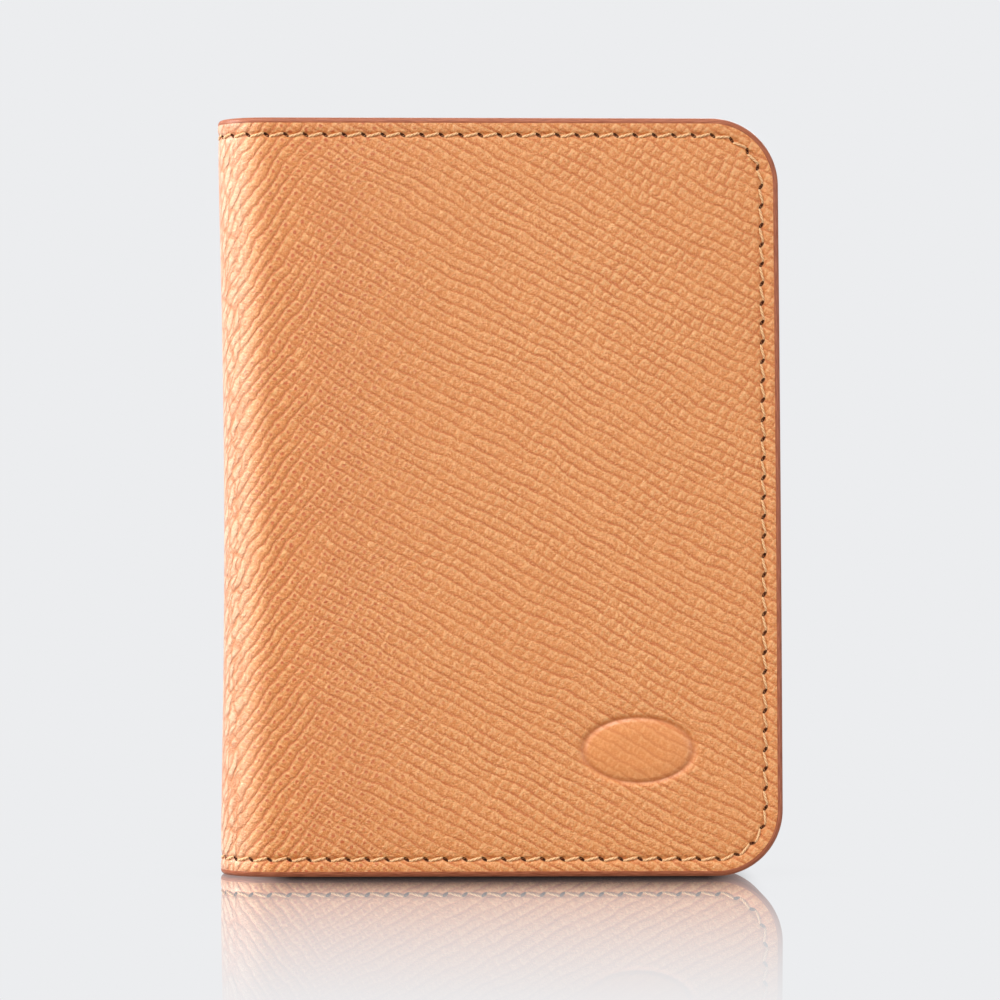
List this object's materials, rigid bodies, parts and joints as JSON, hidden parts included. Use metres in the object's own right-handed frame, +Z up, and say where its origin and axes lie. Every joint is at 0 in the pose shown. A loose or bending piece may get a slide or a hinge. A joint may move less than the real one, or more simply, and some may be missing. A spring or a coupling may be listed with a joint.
{
  "type": "bifold wallet",
  "caption": "Upright bifold wallet of cross-grained leather with rounded corners, painted edges, a stitched border, a note compartment and stepped card pockets.",
  "frame": {"origin": "middle of the footprint, on the surface that the closed wallet stands on", "axes": "+X across the cover from the folded spine to the opening edge, +Y through the thickness from the front cover to the back cover, +Z up"},
  "size_m": [0.08, 0.014, 0.108],
  "materials": {
    "cover_leather": "cross-grained, semi-matt, tan",
    "inner_leather": "fine cross grain, semi-matt, tan",
    "lining_cloth": "woven, matt, brown",
    "stiffener_board": "bonded leather board, raw",
    "edge_paint": "brushed-on edge paint, satin, reddish brown",
    "thread": "waxed sewing thread, pale gold"
  },
  "bodies": {
    "back_half": {"back_leather": "cover_leather", "back_stiffener": "stiffener_board", "back_lining": "lining_cloth", "back_divider": "inner_leather", "back_card_panel": "inner_leather", "back_pocket_1": "inner_leather", "back_pocket_2": "inner_leather", "back_pocket_3": "inner_leather", "back_shell_edge_paint": "edge_paint", "back_card_edge_paint": "edge_paint", "back_outer_stitches": "thread", "back_inner_stitches": "thread", "back_card_panel_stitches": "thread", "back_pocket_bottom_stitches": "thread"},
    "spine_back": {"spine_back_leather": "cover_leather", "spine_back_tape": "lining_cloth", "spine_back_lining": "lining_cloth", "spine_back_divider": "inner_leather", "spine_back_edge_paint": "edge_paint", "spine_back_stitches": "thread"},
    "spine_front": {"spine_front_leather": "cover_leather", "spine_front_tape": "lining_cloth", "spine_front_lining": "lining_cloth", "spine_front_divider": "inner_leather", "spine_front_edge_paint": "edge_paint", "spine_front_stitches": "thread"},
    "front_half": {"front_leather": "cover_leather", "front_stiffener": "stiffener_board", "front_lining": "lining_cloth", "front_divider": "inner_leather", "front_card_panel": "inner_leather", "front_pocket_1": "inner_leather", "front_pocket_2": "inner_leather", "front_pocket_3": "inner_leather", "front_shell_edge_paint": "edge_paint", "front_card_edge_paint": "edge_paint", "front_outer_stitches": "thread", "front_inner_stitches": "thread", "front_card_panel_stitches": "thread", "front_pocket_bottom_stitches": "thread"}
  },
  "joints": [
    {"name": "spine_fold_1", "type": "hinge", "parent": "back_half", "child": "spine_back", "pos_m": [-0.0364, 0.00589, 0.054], "axis": [0, 0, -1], "range_deg": [0, 60]},
    {"name": "spine_fold_2", "type": "hinge", "parent": "spine_back", "child": "spine_front", "pos_m": [-0.03981, 0, 0.054], "axis": [0, 0, -1], "range_deg": [0, 60]},
    {"name": "spine_fold_3", "type": "hinge", "parent": "spine_front", "child": "front_half", "pos_m": [-0.0364, -0.00589, 0.054], "axis": [0, 0, -1], "range_deg": [0, 60]}
  ],
  "couplings": [
    {"joint": "spine_fold_2", "follows": "spine_fold_1", "ratio": 1},
    {"joint": "spine_fold_3", "follows": "spine_fold_1", "ratio": 1}
  ]
}
